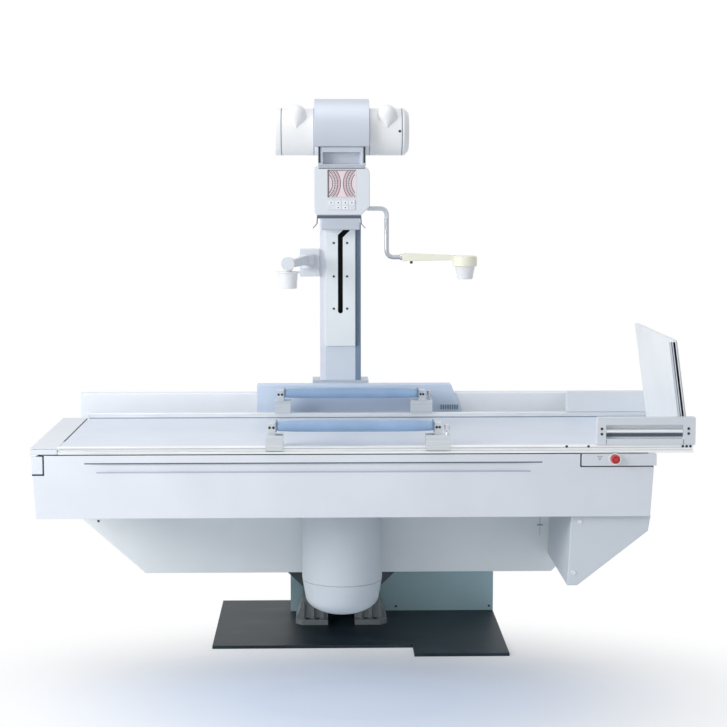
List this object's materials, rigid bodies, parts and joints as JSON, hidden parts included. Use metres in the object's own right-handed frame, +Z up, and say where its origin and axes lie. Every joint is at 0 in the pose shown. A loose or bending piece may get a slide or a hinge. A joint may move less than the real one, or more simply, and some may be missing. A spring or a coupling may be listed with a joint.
{
  "type": "tilting radiography table",
  "caption": "Tilting radiography and fluoroscopy table with an over-table X-ray tube on a travelling tower, imaging drum below, padded rests, footboard and compression devices.",
  "frame": {"origin": "on the floor, under the tilt axis, at the middle of the cast stand", "axes": "+X to the foot end, +Y to the rear where the tower stands, +Z up"},
  "size_m": [2.273, 1.105, 2.008],
  "materials": {
    "black_steel": "matt near-black steel plate",
    "grey_cast": "painted casting",
    "teal_enamel": "satin teal-grey enamel",
    "dark_grey": "satin dark grey",
    "steel": "ground steel",
    "pale_enamel": "satin pale blue-grey enamel",
    "white_enamel": "satin white enamel",
    "aluminium": "satin anodised",
    "white_plastic": "moulded white cover",
    "pale_plastic": "moulded pale grey cover",
    "dark_plastic": "dark housing",
    "red_plastic": "glossy red",
    "tabletop": "satin laminate",
    "blue_vinyl": "padded blue vinyl",
    "column_aluminium": "painted extrusion",
    "blue_grey": "metallic blue-grey paint",
    "tube_enamel": "satin enamel",
    "dial_face": "printed dial behind a window",
    "cream_plastic": "cream moulding",
    "clear_white": "translucent white"
  },
  "bodies": {
    "base": {"base_plate": "black_steel", "pivot_stand": "grey_cast", "pivot_bearing": "grey_cast", "drive_housing": "teal_enamel", "drive_motor": "dark_grey"},
    "saddle": {"tilt_saddle": "dark_grey", "tilt_axle": "steel", "lower_shift_block": "steel", "upper_shift_block": "steel"},
    "pinion": {"tilt_pinion": "steel"},
    "table_body": {"rear_beam": "pale_enamel", "front_cover": "white_enamel", "head_end_cover": "white_enamel", "foot_end_cover": "white_enamel", "head_frame": "aluminium", "foot_frame": "aluminium", "front_beam": "aluminium", "rear_cover": "white_enamel", "tower_rail": "pale_enamel", "foot_box": "white_plastic", "control_panel": "pale_plastic"},
    "button": {"stop_button": "red_plastic"},
    "tabletop": {"tabletop_panel": "tabletop", "head_end_cap": "pale_plastic", "front_rail": "aluminium", "rear_rail": "aluminium", "near_foot_bracket": "pale_plastic", "far_foot_bracket": "pale_plastic"},
    "footrest": {"footboard": "white_plastic"},
    "near_rest": {"near_side_pad": "blue_vinyl", "near_pad_clamp_head": "aluminium", "near_pad_clamp_foot": "aluminium"},
    "far_rest": {"far_side_pad": "blue_vinyl", "far_pad_clamp_head": "aluminium", "far_pad_clamp_foot": "aluminium"},
    "tower": {"carriage": "aluminium", "imaging_unit": "dark_plastic", "intensifier_drum": "white_plastic", "drum_cap": "white_plastic", "tower_cover": "pale_plastic", "column": "column_aluminium", "column_front_plate": "pale_enamel"},
    "tube_head": {"lift_arm": "blue_grey", "tube_yoke": "blue_grey", "tube_barrel": "tube_enamel", "tube_cap_left": "tube_enamel", "tube_cap_right": "tube_enamel", "tube_horn_left": "white_plastic", "tube_horn_right": "white_plastic", "tube_neck": "blue_grey"},
    "collimator": {"collimator_housing": "pale_plastic", "dial_window": "dial_face", "key_pad": "pale_plastic", "collimator_plate": "aluminium"},
    "paddle": {"paddle_tube": "steel", "paddle_arm": "cream_plastic", "paddle_cone": "clear_white"},
    "compressor": {"compressor_block": "pale_plastic"},
    "compressor_swing_arm": {"compressor_arm": "pale_plastic", "compressor_cup": "clear_white"}
  },
  "joints": [
    {"name": "table_tilt", "type": "hinge", "parent": "base", "child": "saddle", "pos_m": [0, -0.086, 0.25], "axis": [0, 1, 0], "range_deg": [-30, 90]},
    {"name": "body_shift", "type": "slide", "parent": "saddle", "child": "table_body", "axis": [1, 0, 0], "range_m": [-1.01, 0.34]},
    {"name": "pinion_turn", "type": "hinge", "parent": "base", "child": "pinion", "pos_m": [0.1506, 0.089, 0.25], "axis": [0, 1, 0], "range_deg": [-361, 121]},
    {"name": "stop_press", "type": "slide", "parent": "table_body", "child": "button", "axis": [0, 1, 0], "range_m": [0, 0.006], "stiffness_N_per_m": 400},
    {"name": "tabletop_cross_travel", "type": "slide", "parent": "table_body", "child": "tabletop", "axis": [0, 1, 0], "range_m": [-0.05, 0.05]},
    {"name": "footboard_slide", "type": "slide", "parent": "tabletop", "child": "footrest", "axis": [-1, 0, 0], "range_m": [0, 0.24]},
    {"name": "near_rest_slide", "type": "slide", "parent": "tabletop", "child": "near_rest", "axis": [1, 0, 0], "range_m": [-0.3, 0.3]},
    {"name": "far_rest_slide", "type": "slide", "parent": "tabletop", "child": "far_rest", "axis": [1, 0, 0], "range_m": [-0.3, 0.3]},
    {"name": "tower_travel", "type": "slide", "parent": "table_body", "child": "tower", "axis": [1, 0, 0], "range_m": [-0.4, 0.3]},
    {"name": "tube_lift", "type": "slide", "parent": "tower", "child": "tube_head", "axis": [0, 0, 1], "range_m": [0, 0.2]},
    {"name": "collimator_swivel", "type": "hinge", "parent": "tube_head", "child": "collimator", "pos_m": [0, -0.421, 1.77], "axis": [0, 0, 1], "range_deg": [-30, 30]},
    {"name": "paddle_swing", "type": "hinge", "parent": "collimator", "child": "paddle", "pos_m": [0.16, -0.461, 1.588], "axis": [0, 0, 1], "range_deg": [-170, 40]},
    {"name": "compressor_lift", "type": "slide", "parent": "tower", "child": "compressor", "axis": [0, 0, -1], "range_m": [0, 0.25]},
    {"name": "compressor_swing", "type": "hinge", "parent": "compressor", "child": "compressor_swing_arm", "pos_m": [-0.128, 0.049, 1.4], "axis": [0, 0, 1], "range_deg": [0, 30]}
  ],
  "couplings": [
    {"joint": "body_shift", "follows": "table_tilt", "m_per_rad": -0.64},
    {"joint": "pinion_turn", "follows": "table_tilt", "ratio": -4}
  ]
}
